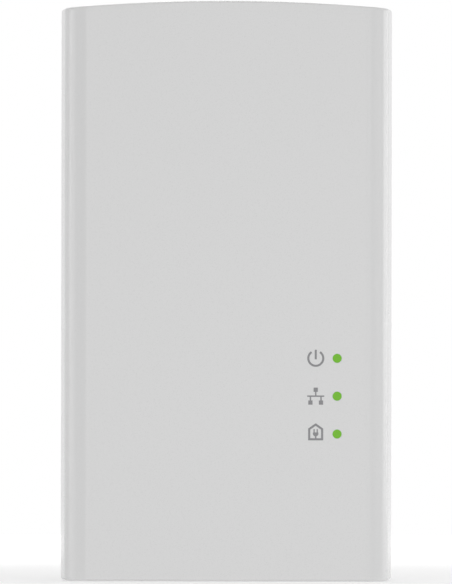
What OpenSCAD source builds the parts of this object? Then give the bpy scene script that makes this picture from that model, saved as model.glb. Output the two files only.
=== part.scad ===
// Plug-in powerline network adapter: a two-shell housing that hangs on a grounded wall socket by
// its own plug, with one network jack, a pair button and a reset button in its underside.
// Frame: X to the right as seen from the front, Y towards the wall, Z up. The origin is midway
// between the two blades, on the plug's wall face.

/* [Housing] */
// Width across the parting line
body_w = 68; // [67:0.5:70]
// Height at the middle of the crowned top
body_h = 118.8; // [118:0.2:122]
// Depth from the plug's wall face to the front face
body_d = 34; // [34:0.5:36]
// Height of the top's middle above the blades' centre line
plug_to_top = 31.5; // [31:0.5:33]
// Rise of the crowned top from its corners to its middle
crown_rise = 1.55; // [0.5:0.05:2]
// Radius of the two long front edges
long_edge_r = 4.7; // [4:0.1:5]
// Radius of the front's short top and bottom edges
short_edge_r = 0.4; // [0.4:0.1:1]
// Radius round the back edge of the rear shell
rear_edge_r = 2.6; // [1.5:0.1:3]
// Radius of the housing's corners as seen from the front
corner_r = 0.6; // [0.6:0.1:1.2]
// How far each side leans out from the front edge to the parting line
side_lean = 0.8; // [0.4:0.1:1]
// Wall thickness of both shells
wall = 2; // [1.8:0.1:2.2]
// Depth of the rear shell behind the parting line
rear_shell_d = 10.7; // [10.5:0.1:11]
// Width of the shadow gap at the parting line
parting_gap = 0.3; // [0.2:0.05:0.4]

/* [Status lights] */
// Diameter of each light window
light_d = 1.8; // [1.6:0.1:2.4]
// Distance of the light column right of the middle
light_x = 22.7; // [20:0.1:24]
// Height of the middle light above the housing's underside
light_h = 37.9; // [36:0.1:40]
// Spacing of the lights
light_pitch = 7.75; // [7:0.05:9]

/* [Plug] */
// Distance between the two flat blades
blade_pitch = 12.7; // [12.7]
// Blade width
blade_w = 6.35; // [6.3:0.05:6.4]
// Blade thickness
blade_t = 1.5; // [1.4:0.1:1.6]
// Blade length beyond the wall face
blade_l = 17.5; // [16:0.5:18]
// Diameter of the earth pin
earth_d = 4.8; // [4.7:0.1:4.9]
// Length of the earth pin beyond the wall face
earth_l = 20.6; // [19:0.1:21]
// Drop of the earth pin below the blades' centre line
earth_drop = 11.9; // [11.9]

/* [Buttons] */
// Distance of each button from the middle
button_x = 17.5; // [16.5:0.5:18]
// Travel of each switch plunger
button_travel = 0.4; // [0.3:0.05:0.5]
// Depth of the pair button's face below the underside
button_recess = 0.3; // [0.2:0.1:0.5]
// Diameter of the reset pin hole
pin_hole_d = 2; // [1.6:0.1:2.4]

/* [Vents] */
// Width of a vent slot
slot_w = 1.6; // [1.2:0.1:1.8]
// Length of a vent slot
slot_l = 5.4; // [4:0.1:5.6]
// Spacing of vent slots
slot_pitch = 3.2; // [3:0.1:3.6]
// Slots in each side wall
side_slots = 12; // [8:1:13]
// Slots in the top wall
top_slots = 13; // [7:2:13]

/* [Hidden] */
$fn = 48;

eps = 0.01;
fit = 0.1;

// Housing planes
half_w = body_w / 2;
top_z = plug_to_top;
bottom_z = plug_to_top - body_h;
front_y = -body_d;
insert_proud = 0.8;
rear_y = -insert_proud;
parting_y = rear_y - rear_shell_d;
back_wall = 2.2;
back_wall_y = rear_y - back_wall;
front_wall_y = front_y + wall;
floor_z = bottom_z + wall;
crown_r = (half_w * half_w + crown_rise * crown_rise) / (2 * crown_rise);
face_half_w = half_w - side_lean - long_edge_r;
front_shell_d = parting_y - front_y;
lean_per_mm = side_lean / (front_shell_d - long_edge_r);

// Rim where the two shells nest
lip_t = 1;
lip_d = 1.5;
tongue_d = 1.4;

// Screws that close the housing
screw_x = half_w - 6.5;
screw_zs = [top_z - 7.5, bottom_z + 5.5];
screw_places = [for (x = [-screw_x, screw_x], z = screw_zs) [x, z]];
screw_d = 2.5;
screw_l = 12;
screw_head_d = 4.6;
screw_head_h = 1.8;
boss_d = 6.4;
column_d = 7.6;
counterbore_d = 5.2;
screw_seat_y = -8;

// Circuit boards
board_t = 1.6;
main_front_y = front_wall_y + 5.2;
main_rear_y = main_front_y + board_t;
main_half_w = 30;
main_bottom_z = floor_z + 0.8;
main_top_z = top_z - 5;
main_posts = [for (x = [-25, 25], z = [12, -68]) [x, z]];
power_rear_y = -8;
power_front_y = power_rear_y - board_t;
power_half_w = 28.5;
power_bottom_z = -36;
power_top_z = top_z - 5;
power_posts = [for (x = [-24, 24], z = [8, -22]) [x, z]];
post_d = 5;
small_screw_d = 2.2;
small_head_d = 4.2;
small_head_h = 1.5;

// Plug insert
insert_w = 30;
insert_h = 34;
insert_z = -5;
insert_r = 4;
flange_over = 2;
flange_t = 1.5;
flange_y = back_wall_y - flange_t;
tail_y = -11;
tail_w = 3;
blade_hole_d = 3.2;
blade_hole_y = 11.7;
earth_neck_d = 4;
earth_seat_t = 0.5;

// Status lights
light_zs = [for (i = [1, 0, -1]) bottom_z + light_h + i * light_pitch];
window_fit = 0.06;
guide_bar_t = 1.5;
guide_l = 2 * light_pitch + 14;
peg_d = 1.5;
peg_zs = [for (side = [-1, 1]) light_zs[1] + side * (light_pitch + 4.5)];
light_t = 0.8;

// Buttons and their switches, in the underside
switch_y = main_rear_y + 3;
switch_w = 6;
switch_d = 3.6;
switch_bottom_z = bottom_z + 8;
plunger_d = 3.4;
plunger_disc_d = 4.5;
plunger_disc_t = 0.8;
switch_lip_t = 0.8;
chamber_d = 4.8;
chamber_t = plunger_disc_t + button_travel + 0.6;
cap_w = 8.6;
cap_d = 4;
cap_flange_over = 1;
cap_flange_t = 1.2;
cap_flange_z = floor_z + 0.05;
pair_tip_z = bottom_z + 4.4;
reset_tip_z = bottom_z + 3.4;

// Network jack
jack_w = 16.2;
jack_h = 13.6;
jack_l = 21.3;
jack_front_z = bottom_z + 0.4;
jack_back_z = jack_front_z + jack_l;
jack_far_y = main_rear_y + jack_h;
sheet_t = 0.3;
socket_w = 11.8;
socket_h = 6.8;
socket_depth = 12.8;
roof_t = 1.6;
socket_top_y = jack_far_y - sheet_t - roof_t;
socket_low_y = socket_top_y - socket_h;
contact_pitch = 1.02;
contact_w = 0.46;
contact_n = 8;
notch_half_w = jack_w / 2 + 0.2;

// Points on an arc, in plan order.
function arc(cx, cz, r, from, to, steps) =
    [for (i = [0:steps]) let (a = from + (to - from) * i / steps) [cx + r * cos(a), cz + r * sin(a)]];

// The housing's outline as seen from the front: flat foot, straight sides and a crowned top that
// runs tangent into its corners. It is drawn in at the top and bottom by inset.
function outline(hw, inset, r, corner_steps = 5, crown_steps = 14) =
    let (
        xc = hw - r,
        crown_zc = top_z - inset - crown_r,
        zc = crown_zc + sqrt(pow(crown_r - r, 2) - xc * xc),
        lean = asin(xc / (crown_r - r)),
        foot_zc = bottom_z + inset + r
    )
    concat(
        arc(xc, foot_zc, r, -90, 0, corner_steps),
        arc(xc, zc, r, 0, 90 - lean, corner_steps),
        [for (i = [1:crown_steps - 1]) let (a = 90 - lean + 2 * lean * i / crown_steps)
            [crown_r * cos(a), crown_zc + crown_r * sin(a)]],
        arc(-xc, zc, r, 90 + lean, 180, corner_steps),
        arc(-xc, foot_zc, r, 180, 270, corner_steps)
    );

// How far a quarter-round edge of radius r draws the outline in, at a depth below its face.
function round_inset(depth, r) = depth < r ? r - sqrt(r * r - pow(r - depth, 2)) : 0;

// Half the front shell's width at a depth behind the front face.
function front_half_w(depth, thick = 0) =
    depth < long_edge_r
        ? face_half_w + sqrt(pow(long_edge_r - thick, 2) - pow(long_edge_r - depth, 2))
        : half_w - side_lean + (depth - long_edge_r) * lean_per_mm - thick;

// A solid lofted through rings of equal length, each [y, outline], from the front to the back.
module loft(rings) {
    n = len(rings[0][1]);
    last = (len(rings) - 1) * n;
    points = [for (ring = rings, p = ring[1]) [p[0], ring[0], p[1]]];
    sides = [for (i = [0:len(rings) - 2], j = [0:n - 1]) let (k = (j + 1) % n)
        each [[i * n + j, i * n + k, (i + 1) * n + k], [i * n + j, (i + 1) * n + k, (i + 1) * n + j]]];
    polyhedron(points, concat(
        [[for (j = [n - 1:-1:0]) j]],
        sides,
        [[for (j = [0:n - 1]) last + j]]
    ));
}

// An outline turned upright and extruded from y0 towards the wall.
module upright(y0, depth) {
    translate([0, y0 + depth, 0]) rotate([90, 0, 0]) linear_extrude(depth) children();
}

// A ring that follows the housing's outline at the parting line.
module rim(y0, depth, outer_inset, inner_inset) {
    upright(y0, depth) difference() {
        polygon(outline(half_w - outer_inset, outer_inset, corner_r));
        polygon(outline(half_w - inner_inset, inner_inset, corner_r));
    }
}

// A plate of width w and height h with rounded corners, drawn flat.
module rounded(w, h, r) {
    square([w - 2 * r, h], center = true);
    square([w, h - 2 * r], center = true);
    for (x = [-1, 1], y = [-1, 1]) translate([x * (w / 2 - r), y * (h / 2 - r)]) circle(r);
}

// A slot with round ends, drawn flat, with its length along the first axis.
module slot(l, w) {
    square([l - w, w], center = true);
    for (x = [-1, 1]) translate([x * (l - w) / 2, 0]) circle(w / 2);
}

// A round rod along Y, from y0 to y1.
module rod(x, z, d, y0, y1) {
    translate([x, y0, z]) rotate([-90, 0, 0]) cylinder(d = d, h = y1 - y0);
}

// A block on X and Z centres, between two depths.
module slab(x, z, w, h, y0, y1) {
    translate([x - w / 2, y0, z - h / 2]) cube([w, y1 - y0, h]);
}

// Places children on the front of the power board, standing towards the front.
module on_power_board(x, z) {
    translate([x, power_front_y, z]) rotate([90, 0, 0]) children();
}

// Places children on the rear of the main board, standing towards the wall.
module on_main_board(x, z) {
    translate([x, main_rear_y, z]) rotate([-90, 0, 0]) children();
}

// A block standing on a board, with its top edges chamfered.
module package(w, h, t, bevel) {
    translate([0, 0, t / 2 - bevel / 2]) cube([w, h, t - bevel], center = true);
    translate([0, 0, t - bevel / 2 - eps])
        cube([w - 2 * bevel, h - 2 * bevel, bevel + 2 * eps], center = true);
}

// A gull-wing chip: its body stands just above the board on two rows of leads.
module leaded_chip(w, h, t, leads, pitch) {
    lead_t = 0.2;
    translate([0, 0, lead_t]) package(w, h, t, 0.2);
    for (i = [0:leads - 1], side = [-1, 1])
        translate([(i - (leads - 1) / 2) * pitch, side * (h / 2 + 0.25), lead_t / 2])
            cube([pitch * 0.4, 1.5, lead_t], center = true);
}

// An upright can capacitor with a rolled neck and a rounded rim.
module can_capacitor(d, h) {
    rim_r = 0.8;
    rotate_extrude() {
        difference() {
            square([d / 2, h - rim_r]);
            translate([d / 2 + 0.25, 1.6]) circle(0.6);
        }
        translate([0, h - rim_r - eps]) square([d / 2 - rim_r, rim_r + eps]);
        intersection() {
            translate([d / 2 - rim_r, h - rim_r]) circle(rim_r);
            translate([0, h - rim_r - eps]) square([d / 2, rim_r + eps]);
        }
    }
}

// A pan-head screw along Y, with its head on seat_y facing the wall.
module pan_screw(x, z, seat_y, d, l, head_d, head_h) {
    translate([x, seat_y, z]) rotate([-90, 0, 0]) difference() {
        union() {
            cylinder(d = head_d, h = head_h * 0.6);
            translate([0, 0, head_h * 0.6 - eps])
                cylinder(d1 = head_d, d2 = head_d * 0.72, h = head_h * 0.4 + eps);
            translate([0, 0, -l]) cylinder(d = d, h = l + eps);
        }
        for (a = [0, 90]) rotate(a) translate([0, 0, head_h])
            cube([head_d * 0.55, head_d * 0.16, head_h], center = true);
    }
}

// The front shell: the face, its long rounded edges and the walls back to the parting line.
module front_cover() {
    depths = concat([for (a = [0:6:90]) long_edge_r * (1 - cos(a))], [front_shell_d]);
    inner_r = long_edge_r - wall;
    inner_depths = concat([for (a = [0:22.5:90]) long_edge_r - inner_r * cos(a)], [front_shell_d + 1]);
    color("lightgray") difference() {
        union() {
            difference() {
                loft([for (t = depths)
                    [front_y + t, outline(front_half_w(t), round_inset(t, short_edge_r), corner_r)]]);
                loft([for (t = inner_depths)
                    [front_y + t, outline(front_half_w(t, wall), wall, 0.4, 1, 6)]]);
            }
            for (p = screw_places) rod(p[0], p[1], boss_d, front_wall_y - eps, parting_y);
            for (p = main_posts) rod(p[0], p[1], post_d, front_wall_y - eps, main_front_y);
            for (z = peg_zs) rod(light_x, z, peg_d, front_wall_y - eps, front_wall_y + guide_bar_t + 0.4);
            screw_boss_ribs();
            face_ribs();
        }
        rim(parting_y - lip_d, lip_d + 1, lip_t, wall + 1);
        for (p = screw_places) rod(p[0], p[1], screw_d + fit, parting_y - screw_l, parting_y + 1);
        for (p = main_posts) rod(p[0], p[1], small_screw_d + fit, main_front_y - 4.4, main_front_y + 1);
        for (z = light_zs) rod(light_x, z, light_d + window_fit, front_y - 1, front_wall_y + 1);
        underside_openings();
    }
}

// Ribs that tie each screw boss to the front wall.
module screw_boss_ribs() {
    rib_t = 1.2;
    rib_l = 11;
    for (p = screw_places) slab(p[0] - sign(p[0]) * rib_l / 2, p[1], rib_l, rib_t,
        front_wall_y - eps, main_front_y - 0.6);
}

// Low ribs that stiffen the face: two upright ones and one across at each pair of posts.
module face_ribs() {
    rib_t = 1;
    rib_h = 1.8;
    upright_x = 14;
    post_zs = [main_posts[0][1], main_posts[1][1]];
    for (x = [-upright_x, upright_x]) slab(x, (post_zs[0] + post_zs[1]) / 2, rib_t, post_zs[0] - post_zs[1],
        front_wall_y - eps, front_wall_y + rib_h);
    for (z = post_zs) slab(0, z, main_posts[2][0] - main_posts[0][0], rib_t,
        front_wall_y - eps, front_wall_y + rib_h);
}

// The jack's notch, the pair button's slot and the reset pin hole, in the front shell's underside.
module underside_openings() {
    translate([-notch_half_w, main_rear_y - 0.2, bottom_z - 1])
        cube([2 * notch_half_w, parting_y - main_rear_y + 2, wall + 1.5]);
    translate([-button_x, switch_y, bottom_z - 1])
        linear_extrude(wall + 2) slot(cap_w + 2 * fit, cap_d + 2 * fit);
    translate([button_x, switch_y, bottom_z - 1]) cylinder(d = pin_hole_d, h = wall + 2);
}

// The rear shell: the walls behind the parting line, the back wall and what the power board stands on.
module rear_cover() {
    skirt_y = parting_y + parting_gap;
    step = 0.15;
    back_half_w = half_w - 1;
    depths = concat([rear_y - skirt_y], [for (a = [90:-10:0]) rear_edge_r * (1 - cos(a))]);
    function rear_half_w(s) = s < rear_edge_r
        ? back_half_w - round_inset(s, rear_edge_r)
        : back_half_w + (half_w - step - back_half_w) * (s - rear_edge_r) / (rear_y - skirt_y - rear_edge_r);
    color("whitesmoke") difference() {
        union() {
            difference() {
                loft([for (s = depths)
                    [rear_y - s, outline(rear_half_w(s), step + round_inset(s, rear_edge_r), corner_r + 0.6)]]);
                loft([for (s = [rear_y - skirt_y + 1, back_wall])
                    [rear_y - s, outline(back_half_w - wall, wall, 0.6, 1, 6)]]);
            }
            difference() {
                rim(parting_y - tongue_d, tongue_d + parting_gap + 2, lip_t + fit, wall + 0.8);
                translate([-notch_half_w - 0.3, parting_y - 3, bottom_z])
                    cube([2 * notch_half_w + 0.6, 3 + parting_gap, wall + 2]);
            }
            for (p = screw_places) rod(p[0], p[1], column_d, parting_y, back_wall_y + eps);
            for (p = power_posts) rod(p[0], p[1], post_d, power_rear_y, back_wall_y + eps);
        }
        upright(back_wall_y - 1, back_wall + 2) translate([0, insert_z])
            rounded(insert_w + 2 * fit, insert_h + 2 * fit, insert_r + fit);
        for (p = screw_places) {
            rod(p[0], p[1], counterbore_d, screw_seat_y, rear_y + 1);
            rod(p[0], p[1], screw_d + 0.4, parting_y - 1, rear_y + 1);
        }
        for (p = power_posts) rod(p[0], p[1], small_screw_d + fit, power_rear_y - 1, power_rear_y + 4);
        vent_slots();
    }
}

// Vent slots through the rear shell's sides, top and underside.
module vent_slots() {
    slot_y = (parting_y + rear_y - rear_edge_r) / 2 + 0.4;
    side_z = -46;
    for (i = [0:side_slots - 1]) translate([0, slot_y, side_z + (i - (side_slots - 1) / 2) * slot_pitch])
        rotate([0, 90, 0]) rotate(90) linear_extrude(body_w + 2, center = true) slot(slot_l, slot_w);
    for (i = [0:top_slots - 1]) translate([(i - (top_slots - 1) / 2) * slot_pitch, slot_y, top_z - wall - 3])
        rotate(90) linear_extrude(wall + 6) slot(slot_l, slot_w);
    for (i = [0:3], side = [-1, 1]) translate([side * (12 + i * slot_pitch), slot_y, bottom_z - 1])
        rotate(90) linear_extrude(wall + 2) slot(slot_l, slot_w);
}

// The four long screws that pull the rear shell onto the front shell.
module cover_screws() {
    shank_l = screw_l - 1 + screw_seat_y - parting_y;
    color("dimgray") for (p = screw_places)
        pan_screw(p[0], p[1], screw_seat_y, screw_d, shank_l, screw_head_d, screw_head_h);
}

// The moulded block that carries the blades and the earth pin through the back wall.
module plug_insert() {
    color("gainsboro") difference() {
        union() {
            upright(back_wall_y - eps, -back_wall_y + eps) translate([0, insert_z])
                rounded(insert_w, insert_h, insert_r);
            upright(flange_y, flange_t) translate([0, insert_z])
                rounded(insert_w + 2 * flange_over, insert_h + 2 * flange_over, insert_r + flange_over);
        }
        for (x = [-1, 1] * blade_pitch / 2) slab(x, 0, blade_t + 0.1, blade_w + 0.1, flange_y - 1, 1);
        translate([0, 0, -earth_drop]) rotate([-90, 0, 0]) rotate_extrude() earth_seat(0.02);
    }
}

// Half the section of the earth pin's way through the insert: a neck that opens to a conical seat.
module earth_seat(grow) {
    neck = earth_neck_d / 2 + grow;
    shaft = earth_d / 2 + grow;
    polygon([
        [0, flange_y - 1], [neck, flange_y - 1], [neck, -earth_seat_t], [shaft, 0], [shaft, 1], [0, 1]
    ]);
}

// A flat contact blade with a chamfered tip, a detent hole, a shoulder between the insert and the
// power board, and a solder tail through the board.
module blade(x) {
    tip = 1.6;
    thin = 0.4;
    shoulder_w = 9;
    hb = blade_w / 2;
    color("silver") translate([x, 0, 0]) difference() {
        intersection() {
            translate([-blade_t / 2, 0, 0]) rotate([90, 0, 90]) linear_extrude(blade_t) polygon([
                [blade_l, hb - tip], [blade_l - tip, hb], [flange_y, hb], [flange_y, shoulder_w / 2],
                [power_rear_y, shoulder_w / 2], [power_rear_y, tail_w / 2], [tail_y, tail_w / 2],
                [tail_y, -tail_w / 2], [power_rear_y, -tail_w / 2], [power_rear_y, -shoulder_w / 2],
                [flange_y, -shoulder_w / 2], [flange_y, -hb], [blade_l - tip, -hb], [blade_l, tip - hb]
            ]);
            translate([0, 0, -shoulder_w]) linear_extrude(2 * shoulder_w) polygon([
                [-blade_t / 2, tail_y - 1], [blade_t / 2, tail_y - 1], [blade_t / 2, blade_l - tip],
                [blade_t / 2 - thin, blade_l], [thin - blade_t / 2, blade_l], [-blade_t / 2, blade_l - tip]
            ]);
        }
        translate([0, blade_hole_y, 0]) rotate([0, 90, 0])
            cylinder(d = blade_hole_d, h = 2 * blade_t, center = true);
    }
}

module line_blade() { blade(blade_pitch / 2); }
module neutral_blade() { blade(-blade_pitch / 2); }

// The round earth pin: a domed shaft on a conical seat, with a riveted neck and a solder tail.
module earth_pin() {
    r = earth_d / 2;
    rivet_t = 1;
    color("silver") translate([0, 0, -earth_drop]) {
        rotate([-90, 0, 0]) rotate_extrude() {
            earth_seat(0);
            square([r, earth_l - r]);
            intersection() {
                translate([0, earth_l - r]) circle(r);
                translate([0, earth_l - r - eps]) square([r, r + eps]);
            }
            translate([0, flange_y - rivet_t]) square([r + 0.6, rivet_t]);
        }
        slab(0, 0, tail_w, 1.2, tail_y, flange_y - rivet_t + eps);
    }
}

// One clear moulding: three light posts on a bar that two pegs hold behind the face.
module light_guide() {
    color("palegreen") difference() {
        union() {
            for (z = light_zs) rod(light_x, z, light_d, front_y, main_front_y - light_t - 0.3);
            upright(front_wall_y, guide_bar_t) translate([light_x, light_zs[1]]) rotate(90) slot(guide_l, 4);
        }
        for (z = peg_zs) rod(light_x, z, peg_d + fit, front_wall_y - 1, front_wall_y + guide_bar_t + 1);
    }
}

// The three surface-mounted lamps under the light posts.
module status_lights() {
    color("limegreen") for (z = light_zs) {
        slab(light_x, z, 2, 1.25, main_front_y - 0.4, main_front_y);
        slab(light_x, z, 1.4, 1.25, main_front_y - light_t, main_front_y - 0.4 + eps);
    }
}

// The pair button's cap: a crowned key in the underside, with a flange that keeps it inside.
module pair_button() {
    face_z = bottom_z + button_recess;
    dish_r = 26;
    color("whitesmoke") translate([-button_x, switch_y, 0]) {
        difference() {
            translate([0, 0, face_z])
                linear_extrude(cap_flange_z + cap_flange_t / 2 - face_z) slot(cap_w, cap_d);
            translate([0, 0, face_z - dish_r + 0.35]) rotate([90, 0, 0])
                cylinder(r = dish_r, h = 2 * cap_d, center = true);
        }
        translate([0, 0, cap_flange_z]) linear_extrude(cap_flange_t)
            slot(cap_w + 2 * cap_flange_over, cap_d + 1.4 * cap_flange_over);
        translate([0, 0, cap_flange_z]) cylinder(d = 3, h = pair_tip_z - cap_flange_z);
    }
}

// A right-angle push switch on the main board, with its plunger's chamber facing the underside.
module push_switch(x) {
    body_z = switch_bottom_z;
    color("dimgray") translate([x, switch_y, body_z]) difference() {
        union() {
            translate([-switch_w / 2, -3, 0]) cube([switch_w, switch_w, switch_d]);
            for (side = [-1, 1]) translate([side * (switch_w / 2 + 0.3) - 0.3, -3, 0.8])
                cube([0.6, 4.2, switch_d - 1.6]);
        }
        translate([0, 0, -1]) cylinder(d = plunger_d + 0.2, h = 2);
        translate([0, 0, switch_lip_t]) cylinder(d = chamber_d, h = chamber_t);
    }
}

// A push switch's plunger, with the disc that keeps it in its chamber.
module plunger(x, tip_z) {
    disc_z = switch_bottom_z + switch_lip_t + 0.05;
    color("ivory") translate([x, switch_y, 0]) {
        translate([0, 0, tip_z]) cylinder(d = plunger_d, h = disc_z - tip_z + eps);
        translate([0, 0, disc_z]) cylinder(d = plunger_disc_d, h = plunger_disc_t);
    }
}

module pair_switch() { push_switch(-button_x); }
module pair_plunger() { plunger(-button_x, pair_tip_z); }
module reset_switch() { push_switch(button_x); }
module reset_plunger() { plunger(button_x, reset_tip_z); }

// The jack's mouth as seen from below: the plug's space and the stepped keyway for its latch.
module socket_outline(grow = 0) {
    key_w = [6.2, 3.4];
    key_h = 1.5;
    translate([-socket_w / 2 - grow, socket_low_y - grow]) square([socket_w + 2 * grow, socket_h + 2 * grow]);
    for (i = [0, 1]) translate([-key_w[i] / 2 - grow, socket_low_y - (i + 1) * key_h - grow])
        square([key_w[i] + 2 * grow, (i + 1) * key_h + 1]);
}

// The jack's folded sheet-metal shield, open towards the board.
module jack_shield() {
    color("silver") difference() {
        translate([-jack_w / 2, main_rear_y, jack_front_z]) cube([jack_w, jack_h, jack_l]);
        translate([sheet_t - jack_w / 2, main_rear_y - 1, jack_front_z + sheet_t])
            cube([jack_w - 2 * sheet_t, jack_h + 1 - sheet_t, jack_l - 2 * sheet_t]);
        translate([0, 0, jack_front_z - 1]) linear_extrude(3) socket_outline(0.2);
        for (side = [-1, 1]) translate([side * jack_w / 2, main_rear_y + jack_h * 0.55, jack_front_z + 7])
            cube([1, 4, 6], center = true);
    }
}

// The jack's moulded insert, with the socket and a groove for each contact.
module jack_insert() {
    inner = sheet_t + fit;
    w = jack_w - 2 * inner;
    front_z = jack_front_z + sheet_t + 0.02;
    back_z = jack_back_z - inner;
    color("darkslategray") difference() {
        translate([-w / 2, main_rear_y, front_z]) cube([w, jack_h - inner, back_z - front_z]);
        translate([0, 0, front_z - 1]) linear_extrude(socket_depth + 1) socket_outline();
        for (i = [0:contact_n - 1]) translate([contact_x(i) - 0.3, socket_top_y - 0.5, front_z + 1])
            cube([0.6, 1.5, socket_depth + 1.4]);
    }
}

function contact_x(i) = (i - (contact_n - 1) / 2) * contact_pitch;

// Eight sprung contacts: each lies in its groove, folds back at the mouth and slants into the socket.
module jack_contacts() {
    t = 0.3;
    top = socket_top_y + 0.95;
    mouth_z = jack_front_z + 1.8;
    back_z = jack_front_z + socket_depth + 2;
    tip = [mouth_z + 7.8, socket_top_y - 2.2];
    color("gold") for (i = [0:contact_n - 1]) translate([contact_x(i) - contact_w / 2, 0, 0])
        rotate([90, 0, 90]) linear_extrude(contact_w) polygon([
            [top - t, back_z], [top, back_z], [top, mouth_z], [top - t - 0.05, mouth_z],
            [tip[1], tip[0]], [tip[1] + 0.28, tip[0] + 0.2], [top - t, mouth_z + 1]
        ]);
}

// A circuit board's outline, with its corners cut away round the housing's screw bosses.
module board_outline(hw, z0, z1, corners) {
    clear = boss_d / 2 + 0.7;
    difference() {
        translate([-hw, z0]) square([2 * hw, z1 - z0]);
        for (p = corners) translate([p[0] > 0 ? p[0] - clear : -hw - 1, p[1] > 0 ? p[1] - clear : z0 - 1])
            square([hw + 1 - abs(p[0]) + clear, p[1] > 0 ? z1 + 1 - p[1] + clear : p[1] + clear - z0 + 1]);
    }
}

// The main board, which carries the network side, the lamps, the switches and the jack.
module main_board() {
    color("darkgreen") upright(main_front_y, board_t) difference() {
        board_outline(main_half_w, main_bottom_z, main_top_z, screw_places);
        for (p = main_posts) translate(p) circle(d = small_screw_d + 0.4);
    }
}

module main_board_screws() {
    color("silver") for (p = main_posts)
        pan_screw(p[0], p[1], main_rear_y, small_screw_d, 5.4, small_head_d, small_head_h);
}

// The signal processor, its pad and the heat sink over it
chip_at = [-6, -50];
chip_w = 14;
chip_t = 1.2;
pad_t = 0.5;
sink_size = [32, 26, 10];
sink_base_t = 2;
sink_fins = 9;
fin_t = 1.2;

module powerline_chip() {
    color("#222222") on_main_board(chip_at[0], chip_at[1]) package(chip_w, chip_w, chip_t, 0.15);
}

module thermal_pad() {
    color("lightblue") on_main_board(chip_at[0], chip_at[1]) translate([0, 0, chip_t + pad_t / 2 + eps])
        cube([chip_w - 1, chip_w - 1, pad_t], center = true);
}

// A finned heat sink whose fins run upright, so that air rises between them.
module heat_sink() {
    pitch = (sink_size[0] - fin_t) / (sink_fins - 1);
    color("gray") on_main_board(chip_at[0], chip_at[1]) translate([0, 0, chip_t + pad_t + 2 * eps]) {
        translate([0, 0, sink_base_t / 2]) cube([sink_size[0], sink_size[1], sink_base_t], center = true);
        for (i = [0:sink_fins - 1]) translate([(i - (sink_fins - 1) / 2) * pitch, 0, sink_size[2] / 2])
            cube([fin_t, sink_size[1], sink_size[2]], center = true);
    }
}

module memory_chip() { color("#222222") on_main_board(18, -46) leaded_chip(11, 8, 1, 12, 0.8); }
module flash_chip() { color("#222222") on_main_board(15, -57) leaded_chip(5, 4, 1.5, 4, 1.27); }
module ethernet_chip() { color("#222222") on_main_board(16, -66) package(6, 6, 0.9, 0.1); }
module line_driver_chip() { color("#222222") on_main_board(-25.5, -40) package(5, 5, 0.9, 0.1); }
module clock_crystal() { color("silver") on_main_board(-25.2, -52) package(3.2, 5, 1.1, 0.3); }

module ethernet_transformer() {
    color("#222222") on_main_board(-16, -69.5) leaded_chip(12.4, 6, 5.6, 8, 1.27);
}

module supply_inductor() {
    color("dimgray") on_main_board(24.4, -56) difference() {
        package(5, 5, 3, 0.4);
        for (side = [-1, 1]) translate([side * 2.5, 0, 1.5]) cylinder(d = 1, h = 4, center = true);
    }
}

// A polyester sheet on the main board, between it and the mains parts.
module insulator_sheet() {
    sheet_low_z = -30.5;
    color("ivory") slab(0, (20 + sheet_low_z) / 2, 43, 20 - sheet_low_z, main_rear_y, main_rear_y + 0.4);
}

// The pin strip that joins the two boards
link_at = [16, -33.5];
link_cols = 4;
link_pitch = 2.54;
link_pin_w = 0.64;

module link_pins(w) {
    for (i = [0:link_cols - 1], j = [-1, 1])
        slab(link_at[0] + (i - (link_cols - 1) / 2) * link_pitch, link_at[1] + j * link_pitch / 2,
            w, w, main_rear_y, power_front_y);
}

module board_link_bars() {
    bar_t = 2.5;
    color("#222222") difference() {
        for (y = [main_rear_y, power_front_y - bar_t])
            slab(link_at[0], link_at[1], link_cols * link_pitch, 5, y, y + bar_t);
        link_pins(link_pin_w + 0.06);
    }
}

module board_link_pins() { color("gold") link_pins(link_pin_w); }

// The power board, with slots for the blades' and the earth pin's solder tails.
module power_board() {
    color("darkgreen") upright(power_front_y, board_t) difference() {
        board_outline(power_half_w, power_bottom_z, power_top_z,
            [for (p = screw_places) if (p[1] > 0) p]);
        for (p = power_posts) translate(p) circle(d = small_screw_d + 0.4);
        for (x = [-1, 1] * blade_pitch / 2) translate([x, 0])
            square([blade_t + 0.2, tail_w + 0.2], center = true);
        translate([0, -earth_drop]) square([tail_w + 0.2, 1.4], center = true);
    }
}

module power_board_screws() {
    color("silver") for (p = power_posts) mirror_y(power_front_y)
        pan_screw(p[0], p[1], power_front_y, small_screw_d, 4.6, small_head_d, small_head_h);
}

// Turns children end for end about a plane across Y.
module mirror_y(y) {
    translate([0, y, 0]) mirror([0, 1, 0]) translate([0, -y, 0]) children();
}

module fuse() {
    color("saddlebrown") on_power_board(14, 21) {
        linear_extrude(7.4) rounded(8.5, 4, 1.2);
        translate([0, 0, 7.4 - eps]) linear_extrude(0.6) rounded(7.9, 3.4, 0.9);
    }
}

module varistor() {
    disc_d = 10;
    color("royalblue") on_power_board(14, 14) translate([0, 0, disc_d / 2 + 1]) rotate([90, 0, 0]) {
        cylinder(d = disc_d, h = 4, center = true);
        for (x = [-2.5, 2.5]) translate([x, -disc_d / 2 + 0.4, 0]) cube([0.8, 2.8, 0.8], center = true);
    }
}

module x_capacitor() { color("gold") on_power_board(0, 20) package(13, 6, 12, 0.5); }

module y_capacitor() {
    disc_d = 8;
    color("steelblue") on_power_board(-14, 6.5) translate([0, 0, disc_d / 2 + 1]) rotate([90, 0, 0]) {
        cylinder(d = disc_d, h = 3, center = true);
        for (x = [-2, 2]) translate([x, -disc_d / 2 + 0.3, 0]) cube([0.7, 2.6, 0.7], center = true);
    }
}

// The line choke: a ring core lying on the board, with one winding on each half
choke_at = [-15, 18];
choke_r = [3.2, 6];
choke_h = 5;
winding_t = 0.7;

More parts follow.
